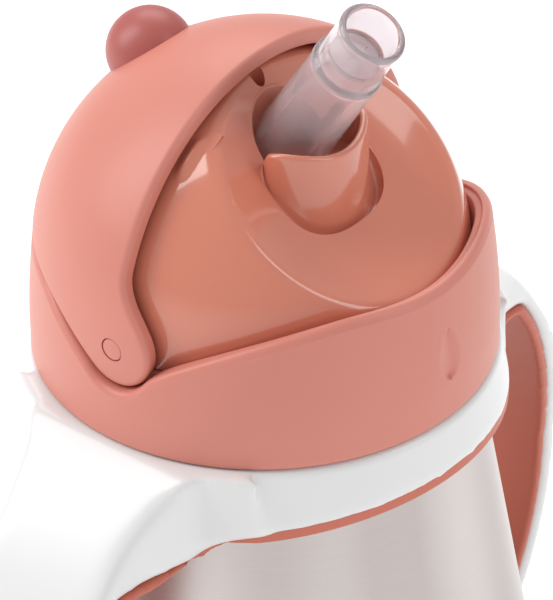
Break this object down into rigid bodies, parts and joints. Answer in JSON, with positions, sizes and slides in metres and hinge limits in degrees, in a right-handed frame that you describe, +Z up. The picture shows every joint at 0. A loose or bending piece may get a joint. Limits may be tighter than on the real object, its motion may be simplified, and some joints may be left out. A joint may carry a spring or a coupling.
{
  "type": "straw sippy cup",
  "caption": "Toddler's double-wall steel straw cup with a clip-on handle ring, a screw lid, a folding silicone straw and a swinging hood with a ball knob.",
  "frame": {"origin": "centre of the foot, on the surface that the cup stands on", "axes": "+Z up along the cup's axis, -Y towards the drinking side, X along the handles and the hood's pivots"},
  "size_m": [0.133, 0.089, 0.1698],
  "materials": {
    "brushed_steel_body": "brushed round the body",
    "steel_inside": "electropolished",
    "grey_silicone": "matte",
    "white_shell": "satin gloss",
    "terracotta_lining": "soft touch",
    "terracotta_satin": "fine satin texture",
    "terracotta_gloss": "polished",
    "rose_knob": "satin",
    "clear_silicone": "clear",
    "clear_plastic": "clear"
  },
  "bodies": {
    "bottle": {"steel_outer_shell": "brushed_steel_body", "steel_inner_vessel": "steel_inside", "steel_base_plate": "brushed_steel_body", "vacuum_getter": "steel_inside", "non_slip_foot_ring": "grey_silicone", "handle_ring": "white_shell", "handle_lining": "terracotta_lining"},
    "seal": {"lid_gasket": "clear_silicone"},
    "lid": {"lid_base": "terracotta_satin", "lid_dome": "terracotta_gloss", "pivot_pin_left": "terracotta_satin", "pivot_pin_right": "terracotta_satin", "vent_valve": "clear_silicone", "straw_stem": "clear_silicone", "straw_flex": "clear_silicone", "straw_nozzle": "clear_plastic", "straw_tube": "clear_silicone"},
    "hood": {"hood": "terracotta_satin", "hood_knob": "rose_knob"},
    "straw": {"straw_mouthpiece": "clear_silicone", "straw_slit_valve": "clear_silicone"}
  },
  "joints": [
    {"name": "lid_lift", "type": "slide", "parent": "bottle", "child": "seal", "axis": [0, 0, 1], "range_m": [0, 0.0048]},
    {"name": "lid_turn", "type": "hinge", "parent": "seal", "child": "lid", "pos_m": [0, 0, 0.104], "axis": [0, 0, 1], "range_deg": [0, 430]},
    {"name": "hood_swing", "type": "hinge", "parent": "lid", "child": "hood", "pos_m": [0, 0, 0.12025], "axis": [1, 0, 0], "range_deg": [0, 74], "deforming": ["straw_flex", "straw_mouthpiece", "straw_slit_valve"]},
    {"name": "straw_fold", "type": "hinge", "parent": "lid", "child": "straw", "pos_m": [0, -0.01198, 0.14561], "axis": [1, 0, 0], "range_deg": [0, 116.5], "deforming": ["straw_flex", "straw_mouthpiece", "straw_slit_valve"]}
  ],
  "couplings": [
    {"joint": "lid_lift", "follows": "lid_turn", "m_per_rad": 0.00063662},
    {"joint": "straw_fold", "follows": "hood_swing", "ratio": 1.57}
  ]
}
